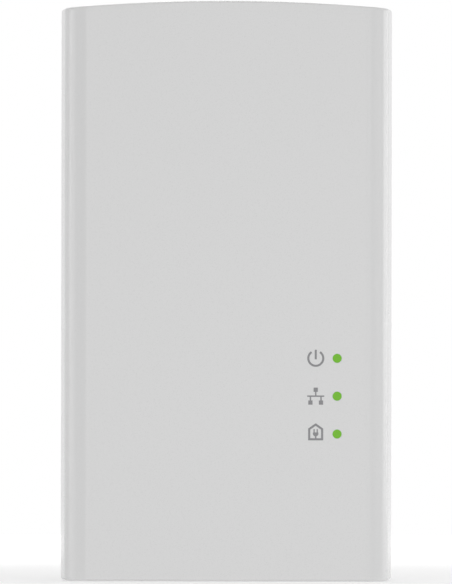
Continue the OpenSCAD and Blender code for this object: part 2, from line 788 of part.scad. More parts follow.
module choke_core() {
    color("darkolivegreen") on_power_board(choke_at[0], choke_at[1]) translate([0, 0, winding_t + 0.05])
        rotate_extrude() translate([choke_r[0], 0]) square([choke_r[1] - choke_r[0], choke_h]);
}

module choke_windings() {
    gap = 0.05;
    band = choke_r[1] - choke_r[0];
    sweep = 130;
    color("peru") on_power_board(choke_at[0], choke_at[1]) for (turn = [0, 180]) rotate(turn - sweep / 2)
        rotate_extrude(angle = sweep) difference() {
            translate([choke_r[0] - winding_t - gap, 0])
                square([band + 2 * (winding_t + gap), choke_h + 2 * (winding_t + gap)]);
            translate([choke_r[0] - gap, winding_t])
                square([band + 2 * gap, choke_h + 2 * gap]);
        }
}

module bridge_rectifier() { color("#222222") on_power_board(17, 3) leaded_chip(8.4, 6.4, 2.8, 2, 5); }

module bulk_capacitors() {
    color("#333344") for (z = [-3, -14]) on_power_board(-18.6, z) can_capacitor(10, 14.2);
}

module output_capacitors() {
    color("#334433") for (z = [-7.6, -16.4]) on_power_board(18.6, z) can_capacitor(8, 12);
}

// The flyback transformer: an E core, a bobbin on a footed base and a taped winding
transformer_at = [2, -25];
base_t = 2;
core_size = [16, 5, 11.5];
yoke_t = 2;
centre_leg_w = 4;
outer_leg_w = 2;
window_w = (core_size[0] - centre_leg_w) / 2 - outer_leg_w;
spool_w = centre_leg_w + 2 * window_w - 0.4;
spool_d = 12;
flange_thick = 0.6;
spool_low = base_t + yoke_t + 0.1;
spool_high = base_t + core_size[2] - yoke_t - 0.1;

module transformer_core() {
    color("#3a3a3a") on_power_board(transformer_at[0], transformer_at[1]) translate([0, 0, base_t])
        difference() {
            translate([-core_size[0] / 2, -core_size[1] / 2, 0]) cube(core_size);
            for (side = [-1, 1]) translate([side * (centre_leg_w + window_w) / 2, 0, core_size[2] / 2])
                cube([window_w, core_size[1] + 1, core_size[2] - 2 * yoke_t], center = true);
        }
}

module transformer_bobbin() {
    tube = [centre_leg_w + 1, core_size[1] + 1];
    cheek_t = 1;
    color("#222222") on_power_board(transformer_at[0], transformer_at[1]) {
        translate([0, 0, base_t / 2]) cube([16, 18, base_t], center = true);
        for (side = [-1, 1]) translate([0, side * (core_size[1] / 2 + 0.1 + cheek_t / 2), base_t + 1])
            cube([centre_leg_w, cheek_t, yoke_t + 1], center = true);
        difference() {
            union() {
                for (z = [spool_low, spool_high - flange_thick])
                    translate([-spool_w / 2, -spool_d / 2, z]) cube([spool_w, spool_d, flange_thick]);
                translate([-tube[0] / 2, -tube[1] / 2, spool_low])
                    cube([tube[0], tube[1], spool_high - spool_low]);
            }
            cube([centre_leg_w + 0.1, core_size[1] + 0.1, 60], center = true);
        }
    }
}

module transformer_winding() {
    low = spool_low + flange_thick + 0.02;
    high = spool_high - flange_thick - 0.02;
    color("gold") on_power_board(transformer_at[0], transformer_at[1]) translate([0, 0, low])
        linear_extrude(high - low) difference() {
            rounded(spool_w - 0.4, spool_d - 0.8, 1.5);
            square([centre_leg_w + 1.05, core_size[1] + 1.05], center = true);
        }
}

module power_controller() { color("#222222") on_power_board(-11, -27) leaded_chip(5, 4, 1.5, 4, 1.27); }
module optocoupler() { color("#222222") on_power_board(14, -25.5) leaded_chip(4.6, 4.4, 3, 2, 2.54); }
module output_rectifier() { color("#222222") on_power_board(23.6, -28.6) package(4.4, 5.5, 2.4, 0.3); }

// The transformer that couples the data signal onto the mains.
module coupling_transformer() {
    color("#3a3a3a") on_power_board(-22, -30) {
        translate([0, 0, 1]) cube([9, 9, 2], center = true);
        translate([0, 0, 2 - eps]) linear_extrude(5.5) rounded(8, 8, 1.5);
    }
}

front_cover();
rear_cover();
cover_screws();
plug_insert();
line_blade();
neutral_blade();
earth_pin();
light_guide();
status_lights();
pair_button();
pair_switch();
pair_plunger();
reset_switch();
reset_plunger();
jack_shield();
jack_insert();
jack_contacts();
main_board();
main_board_screws();
powerline_chip();
thermal_pad();
heat_sink();
memory_chip();
flash_chip();
ethernet_chip();
ethernet_transformer();
clock_crystal();
line_driver_chip();
supply_inductor();
insulator_sheet();
board_link_bars();
board_link_pins();
power_board();
power_board_screws();
fuse();
varistor();
x_capacitor();
y_capacitor();
choke_core();
choke_windings();
bridge_rectifier();
bulk_capacitors();
transformer_core();
transformer_bobbin();
transformer_winding();
power_controller();
optocoupler();
output_rectifier();
output_capacitors();
coupling_transformer();
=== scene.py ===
import math

import bmesh
import bpy
from bpy.props import FloatProperty, FloatVectorProperty, IntProperty, PointerProperty
from mathutils import Matrix, Vector


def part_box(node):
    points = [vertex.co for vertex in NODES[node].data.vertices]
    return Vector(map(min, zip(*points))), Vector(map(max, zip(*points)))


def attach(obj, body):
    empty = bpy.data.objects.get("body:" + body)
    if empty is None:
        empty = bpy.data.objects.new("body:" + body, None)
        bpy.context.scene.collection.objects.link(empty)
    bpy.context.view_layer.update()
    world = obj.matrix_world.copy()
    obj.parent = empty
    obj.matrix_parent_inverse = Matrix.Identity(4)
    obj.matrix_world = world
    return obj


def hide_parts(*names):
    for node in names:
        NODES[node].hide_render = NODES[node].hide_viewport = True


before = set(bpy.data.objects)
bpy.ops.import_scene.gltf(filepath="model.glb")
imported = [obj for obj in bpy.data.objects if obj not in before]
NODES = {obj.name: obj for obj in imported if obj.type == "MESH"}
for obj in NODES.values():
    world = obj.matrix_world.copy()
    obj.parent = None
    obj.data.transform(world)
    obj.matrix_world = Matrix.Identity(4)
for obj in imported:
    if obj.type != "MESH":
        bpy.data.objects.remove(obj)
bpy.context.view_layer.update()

bl_info = {
    "name": "Powerline Adapter Looks",
    "version": (1, 0, 0),
    "blender": (4, 5, 0),
    "location": "3D View > Sidebar > Adapter",
    "description": "Dresses the packed powerline adapter with finished pieces, materials and a studio",
    "category": "Object",
}

MM = 0.001
QUARTER_TURN = math.pi / 2

# Cleaning and shading of meshes
MERGE = 2e-6
FLAT_ANGLE = math.radians(0.3)
CUT_EDGE_ANGLE = math.radians(40)
SHELL_CREASE = math.radians(32)
SCREW_CREASE = math.radians(40)

# Kinds of node sockets
FLOAT = "NodeSocketFloat"
INTEGER = "NodeSocketInt"
COLOUR = "NodeSocketColor"
VECTOR = "NodeSocketVector"
MATERIAL = "NodeSocketMaterial"
GEOMETRY = "NodeSocketGeometry"


# Settings


def tone(red, green, blue):
    """A colour read off a screen, 0 to 255, as the linear values that materials use."""
    def linear(v):
        v /= 255
        return v / 12.92 if v <= 0.04045 else ((v + 0.055) / 1.055) ** 2.4
    return linear(red), linear(green), linear(blue)


def colour(label, text, default):
    """A colour setting."""
    return FloatVectorProperty(name=label, description=text, subtype="COLOR", size=3, min=0, max=1,
                               default=default)


def length(label, text, millimetres):
    """A length setting, given in millimetres and kept in metres."""
    return FloatProperty(name=label, description=text, unit="LENGTH", precision=5,
                         default=millimetres * MM)


def share(label, text, default):
    """A setting between 0 and 1."""
    return FloatProperty(name=label, description=text, subtype="FACTOR", min=0, max=1,
                         default=default)


class HousingSettings(bpy.types.PropertyGroup):
    """The two shells and the pair key"""
    front_tone: colour("Front shell", "Colour of the front shell's plastic", tone(211, 211, 211))
    rear_tone: colour("Rear shell", "Colour of the rear shell's plastic", tone(214, 214, 214))
    key_tone: colour("Pair key", "Colour of the pair key's plastic", tone(204, 204, 204))
    front_grain: length("Front grain", "Spacing of the front shell's fine texture", 0.16)
    rear_grain: length("Rear grain", "Spacing of the rear shell's spark-eroded texture", 0.25)
    shell_edge: length("Shell edge", "Rounding of the shells' cut edges", 0.14)
    key_edge: length("Key edge", "Rounding of the pair key's edges", 0.18)


class ScrewSettings(bpy.types.PropertyGroup):
    """The screws of the housing and of the boards"""
    zinc_tone: colour("Zinc", "Colour of the screws' zinc plating", (0.32, 0.32, 0.33))
    cover_head: length("Housing head", "Diameter of a housing screw's head", 4.6)
    cover_head_height: length("Housing head height", "Height of a housing screw's head", 1.8)
    cover_shank: length("Housing shank", "Diameter of a housing screw's thread", 2.5)
    board_head: length("Board head", "Diameter of a board screw's head", 4.2)
    board_head_height: length("Board head height", "Height of a board screw's head", 1.5)
    board_shank: length("Board shank", "Diameter of a board screw's thread", 2.2)


class PlugSettings(bpy.types.PropertyGroup):
    """The plug block, the blades and the earth pin"""
    block_tone: colour("Plug block", "Colour of the block round the blades", tone(205, 205, 205))
    block_edge: length("Block edge", "Rounding of the plug block's edges", 0.25)
    plate_tone: colour("Plating", "Colour of the nickel plating", (0.56, 0.55, 0.52))
    blade_edge: length("Blade edge", "Rounding of the blades' edges", 0.12)


class LightSettings(bpy.types.PropertyGroup):
    """The lit windows and the signs printed beside them"""
    window_tone: colour("Window", "Colour of a lit window", tone(118, 183, 62))
    window_glow: share("Window glow", "Share of the window's colour that it gives off itself", 0.7)
    window_tint: share("Window tint", "Share of the window's colour that the studio lights up", 0.3)
    lamp_height: length("Lamp height", "Height of one lamp on the main board", 1.25)
    ink_tone: colour("Ink", "Colour of the printed signs", tone(139, 139, 141))
    ink_height: length("Ink height", "Thickness of the printed ink", 0.015)
    sign_size: length("Sign size", "Width of a printed sign", 3.5)
    stroke: length("Stroke", "Width of a printed line", 0.43)
    sign_gap: length("Sign gap", "Distance from a window's middle to its sign's middle", 4.38)


class JackSettings(bpy.types.PropertyGroup):
    """The network jack's shield, insert and contacts"""
    shield_tone: colour("Shield", "Colour of the tinned shield", (0.52, 0.52, 0.51))
    shield_edge: length("Shield edge", "Rounding of the shield's folds", 0.1)
    insert_edge: length("Insert edge", "Rounding of the moulded insert's edges", 0.06)
    contact_tone: colour("Contacts", "Colour of the gold-flashed contacts", (0.83, 0.58, 0.2))
    contact_count: IntProperty(name="Contacts", description="Number of contacts in the jack",
                               default=8, min=2)
    contact_pitch: length("Contact pitch", "Spacing of the contacts", 1.02)
    contact_width: length("Contact width", "Width of one contact", 0.46)
    contact_thick: length("Contact thickness", "Thickness of one contact", 0.3)
    contact_fold: length("Contact fold", "Radius at which a contact folds back at the mouth", 0.12)
    contact_reach: length("Contact reach", "Height of a contact's free end above its fold", 7.8)


class StageSettings(bpy.types.PropertyGroup):
    """The floor, the light from all round and the camera"""
    floor_tone: colour("Floor", "Colour of the studio floor", (0.82, 0.82, 0.82))
    floor_glow: share("Floor glow", "White of the floor near the object", 0.26)
    floor_gap: length("Floor gap", "Clearance between the housing's foot and the floor", 0.1)
    air_light: share("Air light", "Even light from all round", 0.35)
    camera_distance: length("Camera distance", "Distance of the camera from the parting line", 3900)
    pixel: length("Pixel", "Size of one image pixel at the parting line", 0.2059)
    side_shift: length("Side shift", "How far the camera stands left of the housing's middle", 0.08)
    top_gap: length("Top gap", "Space above the housing in the picture", 0.17)
    camera_roll: FloatProperty(name="Camera roll", description="Roll of the camera",
                               subtype="ANGLE", default=-0.0016)


SETTINGS = {
    "adapter_housing": HousingSettings,
    "adapter_screws": ScrewSettings,
    "adapter_plug": PlugSettings,
    "adapter_lights": LightSettings,
    "adapter_jack": JackSettings,
    "adapter_stage": StageSettings,
}


# Objects and meshes


def new_object(name, data):
    """A new object in the scene with the given mesh, lamp or camera."""
    piece = bpy.data.objects.new(name, data)
    bpy.context.scene.collection.objects.link(piece)
    return piece


def bake(piece):
    """Turns a piece with modifiers into a plain mesh."""
    seen = piece.evaluated_get(bpy.context.evaluated_depsgraph_get())
    mesh = bpy.data.meshes.new_from_object(seen)
    mesh.name = piece.name
    piece.modifiers.clear()
    piece.data = mesh
    return piece


def mesh_of(bm, name):
    """A mesh with what was built in bm, which is freed."""
    mesh = bpy.data.meshes.new(name)
    bm.to_mesh(mesh)
    bm.free()
    return mesh


def smooth(mesh, crease):
    """Shades a mesh smooth apart from edges sharper than the crease angle."""
    mesh.shade_smooth()
    mesh.set_sharp_from_angle(angle=crease)


def finished_copy(node, name, edge, segments=2):
    """A copy of a CAD node's mesh with its cut edges rounded and its faces shaded smooth."""
    bm = bmesh.new()
    bm.from_mesh(NODES[node].data)
    bmesh.ops.remove_doubles(bm, verts=bm.verts, dist=MERGE)
    bmesh.ops.dissolve_limit(bm, angle_limit=FLAT_ANGLE, verts=bm.verts, edges=bm.edges)
    piece = new_object(name, mesh_of(bm, name))
    if edge:
        rounding = piece.modifiers.new("edges", "BEVEL")
        rounding.width = edge
        rounding.segments = segments
        rounding.limit_method = "ANGLE"
        rounding.angle_limit = CUT_EDGE_ANGLE
        bake(piece)
    smooth(piece.data, SHELL_CREASE)
    evening = piece.modifiers.new("even", "WEIGHTED_NORMAL")
    evening.keep_sharp = True
    return bake(piece)


def place(piece, body, slot, finish, *nodes):
    """Gives a piece its body and a finish unless a tree has set one, and hides the CAD nodes it stands
    for; slot is not used.
    """
    if finish:
        piece.data.materials.clear()
        piece.data.materials.append(finish)
    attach(piece, body)
    if nodes:
        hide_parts(*nodes)


def dress(finish, *nodes):
    """Gives CAD nodes that show as they are a finish."""
    for node in nodes:
        slots = NODES[node].data.materials
        if not slots:
            slots.append(finish)
        for i in range(len(slots)):
            slots[i] = finish


# Shader groups


def set_socket(socket, value):
    """Sets a socket's value, with full opacity for a colour."""
    socket.default_value = (*value, 1) if socket.type == "RGBA" else value


def feed(tree, socket, value):
    """Sets a socket to a number or links another node's output to it."""
    if isinstance(value, (int, float)):
        socket.default_value = value
    else:
        tree.links.new(value, socket)


def math_node(tree, operation, *values):
    """One step of arithmetic on numbers and on outputs of other nodes."""
    node = tree.nodes.new("ShaderNodeMath")
    node.operation = operation
    for socket, value in zip(node.inputs, values):
        feed(tree, socket, value)
    return node.outputs[0]


def vector_node(tree, operation):
    """One step of vector arithmetic, to be linked by the caller."""
    node = tree.nodes.new("ShaderNodeVectorMath")
    node.operation = operation
    return node


def noise(tree, vector, scale, detail, roughness=0.5):
    """Smooth noise between 0 and 1."""
    node = tree.nodes.new("ShaderNodeTexNoise")
    tree.links.new(vector, node.inputs["Vector"])
    feed(tree, node.inputs["Scale"], scale)
    node.inputs["Detail"].default_value = detail
    node.inputs["Roughness"].default_value = roughness
    return node.outputs["Fac"]


def object_place(tree):
    """Where a point of the surface is on its object."""
    return tree.nodes.new("ShaderNodeTexCoord").outputs["Object"]


def swing(tree, amount, spread):
    """amount, which runs from 0 to 1, as a swing of half of spread to either side of 0."""
    return math_node(tree, "MULTIPLY", math_node(tree, "SUBTRACT", amount, 0.5), spread)


def mixed(tree, factor, first, second):
    """The first colour where factor is 0 and the second where it is 1."""
    node = tree.nodes.new("ShaderNodeMix")
    node.data_type = "RGBA"
    for label, source in (("Factor", factor), ("A", first), ("B", second)):
        tree.links.new(source, node.inputs[label])
    return node.outputs["Result"]


def new_sockets(tree, way, sockets):
    """Gives a tree named sockets from (name, kind, default) rows; None leaves the default."""
    for label, kind, default in sockets:
        socket = tree.interface.new_socket(label, in_out=way, socket_type=kind)
        if default is not None:
            socket.default_value = default


def group_ends(tree):
    """The nodes through which a tree takes its inputs and gives its outputs."""
    return tree.nodes.new("NodeGroupInput"), tree.nodes.new("NodeGroupOutput")


def new_surface_group(name, inputs):
    """An empty group for a surface whose tone, gloss and relief vary."""
    tree = bpy.data.node_groups.new(name, "ShaderNodeTree")
    new_sockets(tree, "INPUT", inputs)
    new_sockets(tree, "OUTPUT", [
        ("Color", COLOUR, None), ("Roughness", FLOAT, None), ("Height", FLOAT, None)])
    return tree, *group_ends(tree)


def finish_surface_group(tree, inn, out, cloud, fine):
    """Lets the tone follow a soft cloud, and the gloss and the relief a fine pattern."""
    gain = math_node(tree, "ADD", swing(tree, cloud, inn.outputs["Tone Spread"]), 1.0)
    tinted = vector_node(tree, "SCALE")
    tree.links.new(inn.outputs["Base Color"], tinted.inputs[0])
    tree.links.new(gain, tinted.inputs["Scale"])
    gloss = swing(tree, fine, inn.outputs["Gloss Spread"])
    roughness = math_node(tree, "ADD", inn.outputs["Roughness"], gloss)
    tree.links.new(tinted.outputs[0], out.inputs["Color"])
    tree.links.new(roughness, out.inputs["Roughness"])
    tree.links.new(fine, out.inputs["Height"])
    return tree


def make_grain_group(name):
    """Moulded plastic: faint tone and gloss variation and the tool's fine texture."""
    tree, inn, out = new_surface_group(name, [
        ("Base Color", COLOUR, (0.6, 0.6, 0.6, 1)), ("Tone Spread", FLOAT, 0.02),
        ("Roughness", FLOAT, 0.45), ("Gloss Spread", FLOAT, 0.06), ("Grain Scale", FLOAT, 5000.0)])
    where = object_place(tree)
    cloud = noise(tree, where, scale=60.0, detail=3.0)
    grain = noise(tree, where, inn.outputs["Grain Scale"], detail=2.0, roughness=0.6)
    return finish_surface_group(tree, inn, out, cloud, grain)


def make_brush_group(name):
    """Plated or drawn metal: fine lines along one direction and soft stains."""
    tree, inn, out = new_surface_group(name, [
        ("Base Color", COLOUR, (0.7, 0.7, 0.7, 1)), ("Tone Spread", FLOAT, 0.15),
        ("Roughness", FLOAT, 0.3), ("Gloss Spread", FLOAT, 0.2),
        ("Line Scale", VECTOR, (6000.0, 300.0, 6000.0))])
    where = object_place(tree)
    stretch = vector_node(tree, "MULTIPLY")
    tree.links.new(where, stretch.inputs[0])
    tree.links.new(inn.outputs["Line Scale"], stretch.inputs[1])
    lines = noise(tree, stretch.outputs[0], scale=1.0, detail=2.0)
    stain = noise(tree, where, scale=300.0, detail=3.0)
    return finish_surface_group(tree, inn, out, stain, lines)


def make_board_group(name):
    """A circuit board: solder mask over raised tracks, with tinned pads."""
    tree = bpy.data.node_groups.new(name, "ShaderNodeTree")
    new_sockets(tree, "INPUT", [
        ("Mask Color", COLOUR, (0.02, 0.12, 0.05, 1)), ("Track Color", COLOUR, (0.03, 0.2, 0.07, 1)),
        ("Pad Color", COLOUR, (0.7, 0.7, 0.66, 1)), ("Track Scale", FLOAT, 450.0),
        ("Track Width", FLOAT, 0.09), ("Pad Scale", FLOAT, 520.0), ("Pad Radius", FLOAT, 0.16)])
    new_sockets(tree, "OUTPUT", [
        ("Color", COLOUR, None), ("Metallic", FLOAT, None), ("Height", FLOAT, None)])
    inn, out = group_ends(tree)
    link = tree.links.new
    upright = tree.nodes.new("ShaderNodeMapping")
    upright.inputs["Rotation"].default_value = (QUARTER_TURN, 0, 0)
    link(object_place(tree), upright.inputs["Vector"])
    tracks = tree.nodes.new("ShaderNodeTexBrick")
    tracks.inputs["Mortar Smooth"].default_value = 0.2
    link(upright.outputs[0], tracks.inputs["Vector"])
    link(inn.outputs["Track Scale"], tracks.inputs["Scale"])
    link(inn.outputs["Track Width"], tracks.inputs["Mortar Size"])
    cells = tree.nodes.new("ShaderNodeTexVoronoi")
    link(upright.outputs[0], cells.inputs["Vector"])
    link(inn.outputs["Pad Scale"], cells.inputs["Scale"])
    pads = math_node(tree, "LESS_THAN", cells.outputs["Distance"], inn.outputs["Pad Radius"])
    mask = mixed(tree, tracks.outputs["Fac"], inn.outputs["Mask Color"], inn.outputs["Track Color"])
    link(mixed(tree, pads, mask, inn.outputs["Pad Color"]), out.inputs["Color"])
    link(pads, out.inputs["Metallic"])
    link(tracks.outputs["Fac"], out.inputs["Height"])
    return tree


def shared_tree(name, make):
    """The node tree of that name, made where it isn't there yet."""
    return bpy.data.node_groups.get(name) or make(name)


def finish_with(name, group, values, bump, **principled):
    """A material fed by a shared group; bump is the height of its texture in metres."""
    made = bpy.data.materials.new(name)
    made.use_nodes = True
    tree = made.node_tree
    shader = tree.nodes["Principled BSDF"]
    source = tree.nodes.new("ShaderNodeGroup")
    source.node_tree = group
    for label, value in values.items():
        set_socket(source.inputs[label], value)
    targets = {"Color": "Base Color", "Roughness": "Roughness", "Metallic": "Metallic"}
    for output, target in targets.items():
        if output in source.outputs:
            tree.links.new(source.outputs[output], shader.inputs[target])
    relief = tree.nodes.new("ShaderNodeBump")
    relief.inputs["Distance"].default_value = bump
    tree.links.new(source.outputs["Height"], relief.inputs["Height"])
    tree.links.new(relief.outputs["Normal"], shader.inputs["Normal"])
    for label, value in principled.items():
        set_socket(shader.inputs[label.replace("_", " ")], value)
    return made


def moulded(name, base, roughness=0.45, grain=0.25 * MM, bump=0.004 * MM, spread=0.02, **more):
    """Moulded plastic; grain is the spacing and bump the height of its texture in metres."""
    values = {"Base Color": base, "Tone Spread": spread, "Roughness": roughness,
              "Grain Scale": 1 / grain}
    return finish_with(name, shared_tree("moulded_grain", make_grain_group), values, bump, **more)


def plated(name, base, roughness=0.3, lines=(6000.0, 300.0, 6000.0), bump=0.002 * MM):
    """Plated metal; lines is the number of its fine lines a metre along each axis."""
    values = {"Base Color": base, "Roughness": roughness, "Line Scale": lines}
    group = shared_tree("drawn_metal", make_brush_group)
    return finish_with(name, group, values, bump, Metallic=1.0)


# Repeats


def new_geometry_tree(name, inputs):
    """A geometry tree with named inputs: (tree, input node, output node)."""
    tree = bpy.data.node_groups.new(name, "GeometryNodeTree")
    new_sockets(tree, "INPUT", [("Geometry", GEOMETRY, None), *inputs, ("Material", MATERIAL, None)])
    new_sockets(tree, "OUTPUT", [("Geometry", GEOMETRY, None)])
    return tree, *group_ends(tree)


def finish_geometry_tree(tree, inn, out, points, shape):
    """Repeats a shape on points and ends the tree in real geometry with its material set."""
    link = tree.links.new
    copies = tree.nodes.new("GeometryNodeInstanceOnPoints")
    link(points, copies.inputs["Points"])
    link(shape, copies.inputs["Instance"])
    real = tree.nodes.new("GeometryNodeRealizeInstances")
    link(copies.outputs["Instances"], real.inputs[0])
    finish = tree.nodes.new("GeometryNodeSetMaterial")
    link(real.outputs[0], finish.inputs["Geometry"])
    link(inn.outputs["Material"], finish.inputs["Material"])
    link(finish.outputs[0], out.inputs[0])
    return tree


def make_corners_tree(name):
    """Puts the given geometry at the four corners of an upright rectangle."""
    tree, inn, out = new_geometry_tree(name, [
        ("Span X", FLOAT, 0.05), ("Span Z", FLOAT, 0.1), ("Centre", VECTOR, (0, 0, 0))])
    link = tree.links.new
    corners = tree.nodes.new("GeometryNodeMeshGrid")
    corners.inputs["Vertices X"].default_value = 2
    corners.inputs["Vertices Y"].default_value = 2
    link(inn.outputs["Span X"], corners.inputs["Size X"])
    link(inn.outputs["Span Z"], corners.inputs["Size Y"])
    upright = tree.nodes.new("GeometryNodeTransform")
    upright.inputs["Rotation"].default_value = (QUARTER_TURN, 0, 0)
    link(corners.outputs["Mesh"], upright.inputs["Geometry"])
    link(inn.outputs["Centre"], upright.inputs["Translation"])
    return finish_geometry_tree(tree, inn, out, upright.outputs[0], inn.outputs["Geometry"])


def make_strips_tree(name):
    """Bends a flat strip along the given edges and repeats it in a row along X."""
    tree, inn, out = new_geometry_tree(name, [
        ("Count", INTEGER, 8), ("Pitch", FLOAT, 0.001), ("Width", FLOAT, 0.0005),
        ("Thickness", FLOAT, 0.0003), ("Bend Radius", FLOAT, 0.0004), ("Bend Steps", INTEGER, 5)])
    link = tree.links.new
    path = tree.nodes.new("GeometryNodeMeshToCurve")
    link(inn.outputs["Geometry"], path.inputs["Mesh"])
    bend = tree.nodes.new("GeometryNodeFilletCurve")
    bend.mode = "POLY"
    link(path.outputs[0], bend.inputs["Curve"])
    link(inn.outputs["Bend Steps"], bend.inputs["Count"])
    link(inn.outputs["Bend Radius"], bend.inputs["Radius"])
    section = tree.nodes.new("GeometryNodeCurvePrimitiveQuadrilateral")
    link(inn.outputs["Width"], section.inputs["Width"])
    link(inn.outputs["Thickness"], section.inputs["Height"])
    strip = tree.nodes.new("GeometryNodeCurveToMesh")
    strip.inputs["Fill Caps"].default_value = True
    link(bend.outputs[0], strip.inputs["Curve"])
    link(section.outputs[0], strip.inputs["Profile Curve"])
    pitch = inn.outputs["Pitch"]
    along = tree.nodes.new("ShaderNodeCombineXYZ")
    link(pitch, along.inputs["X"])
    half = math_node(tree, "MULTIPLY", math_node(tree, "SUBTRACT", inn.outputs["Count"], 1.0), -0.5)
    start = tree.nodes.new("ShaderNodeCombineXYZ")
    link(math_node(tree, "MULTIPLY", half, pitch), start.inputs["X"])
    row = tree.nodes.new("GeometryNodeMeshLine")
    link(inn.outputs["Count"], row.inputs["Count"])
    link(start.outputs[0], row.inputs["Start Location"])
    link(along.outputs[0], row.inputs["Offset"])
    return finish_geometry_tree(tree, inn, out, row.outputs[0], strip.outputs[0])


def repeat(piece, tree, **inputs):
    """Runs a repeating tree on a piece and keeps its result as the piece's mesh."""
    step = piece.modifiers.new(tree.name, "NODES")
    step.node_group = tree
    sockets = {item.name: item.identifier for item in tree.interface.items_tree
               if item.in_out == "INPUT"}
    for label, value in inputs.items():
        step[sockets[label.replace("_", " ")]] = value
    piece.update_tag()
    bake(piece)


# Shapes


def revolve(profile, steps=32):
    """A closed solid turned about Z from (radius, height) points that start and end on the axis."""
    bm = bmesh.new()
    angles = [2 * math.pi * i / steps for i in range(steps)]
    rings = []
    for r, z in profile:
        if r == 0:
            rings.append([bm.verts.new((0, 0, z))] * steps)
        else:
            rings.append([bm.verts.new((r * math.cos(a), r * math.sin(a), z)) for a in angles])
    for low, high in zip(rings, rings[1:]):
        for i in range(steps):
            j = (i + 1) % steps
            corners = list(dict.fromkeys((low[i], low[j], high[j], high[i])))
            if len(corners) > 2:
                bm.faces.new(corners)
    bmesh.ops.recalc_face_normals(bm, faces=bm.faces)
    return bm


def cut(piece, cutters):
    """Takes closed meshes out of a piece."""
    for bm in cutters:
        tool = new_object("cutter", mesh_of(bm, "cutter"))
        step = piece.modifiers.new("cut", "BOOLEAN")
        step.object = tool
        step.solver = "EXACT"
        bake(piece)
        bpy.data.objects.remove(tool)
    bm = bmesh.new()
    bm.from_mesh(piece.data)
    bmesh.ops.remove_doubles(bm, verts=bm.verts, dist=MERGE)
    bmesh.ops.dissolve_degenerate(bm, edges=bm.edges, dist=MERGE)
    bm.to_mesh(piece.data)
    bm.free()


def block(size, at, turn):
    """A box of a size about a point, turned about Z."""
    bm = bmesh.new()
    bmesh.ops.create_cube(bm, size=1.0)
    where = Matrix.Translation(at) @ Matrix.Rotation(turn, 4, "Z") @ Matrix.Diagonal((*size, 1))
    bmesh.ops.transform(bm, matrix=where, verts=bm.verts)
    return bm


class Ink:
    """Ink on an upright face, drawn in (x, z) points about the middle of a sign."""

    def __init__(self, x, face_y, z, height):
        self.bm = bmesh.new()
        self.x = x
        self.z = z
        self.face_y = face_y
        self.height = height

    def point(self, at, raised):
        """A corner of the ink, on the face or at its full height."""
        y = self.face_y - self.height if raised else self.face_y
        return self.bm.verts.new((self.x + at[0], y, self.z + at[1]))

    def fill(self, outline):
        """A patch of ink inside an outline."""
        back = [self.point(at, False) for at in outline]
        front = [self.point(at, True) for at in outline]
        self.bm.faces.new(front)
        self.bm.faces.new(back[::-1])
        for i in range(len(outline)):
            j = (i + 1) % len(outline)
            self.bm.faces.new((back[i], back[j], front[j], front[i]))

    def band(self, outer, inner, closed):
        """A strip of ink between two lines of as many points."""
        rows = []
        for out, inn in zip(outer, inner):
            rows.append([self.point(out, False), self.point(out, True),
                         self.point(inn, True), self.point(inn, False)])
        if closed:
            rows.append(rows[0])
        for a, b in zip(rows, rows[1:]):
            for i in range(4):
                j = (i + 1) % 4
                self.bm.faces.new((a[i], a[j], b[j], b[i]))
        if not closed:
            self.bm.faces.new(rows[0])
            self.bm.faces.new(rows[-1][::-1])

    def mesh(self, name):
        """The ink drawn so far as a mesh."""
        bmesh.ops.recalc_face_normals(self.bm, faces=self.bm.faces)
        return mesh_of(self.bm, name)


# Pieces


class FrontShell(bpy.types.Operator):
    """Front shell with its long rounded edges, crowned top and fine satin texture"""
    bl_idname = "adapter.front_shell"
    bl_label = "Front shell"
    bl_options = {"REGISTER", "UNDO"}

    def execute(self, context):
        look = context.scene.adapter_housing
        finish = moulded("satin_grey_moulding", look.front_tone, roughness=0.28,
                         grain=look.front_grain, bump=0.0016 * MM, spread=0.008)
        shell = finished_copy("front_cover", "front_shell", look.shell_edge)
        place(shell, "housing", "grey_shell", finish, "front_cover")
        return {"FINISHED"}


class RearShell(bpy.types.Operator):
    """Rear shell with its vent slots and screw wells"""
    bl_idname = "adapter.rear_shell"
    bl_label = "Rear shell"
    bl_options = {"REGISTER", "UNDO"}

    def execute(self, context):
        look = context.scene.adapter_housing
        finish = moulded("textured_pale_moulding", look.rear_tone, roughness=0.5,
                         grain=look.rear_grain, bump=0.075 * MM, spread=0.03)
        shell = finished_copy("rear_cover", "rear_shell", look.shell_edge)
        place(shell, "housing", "rear_shell", finish, "rear_cover")
        return {"FINISHED"}


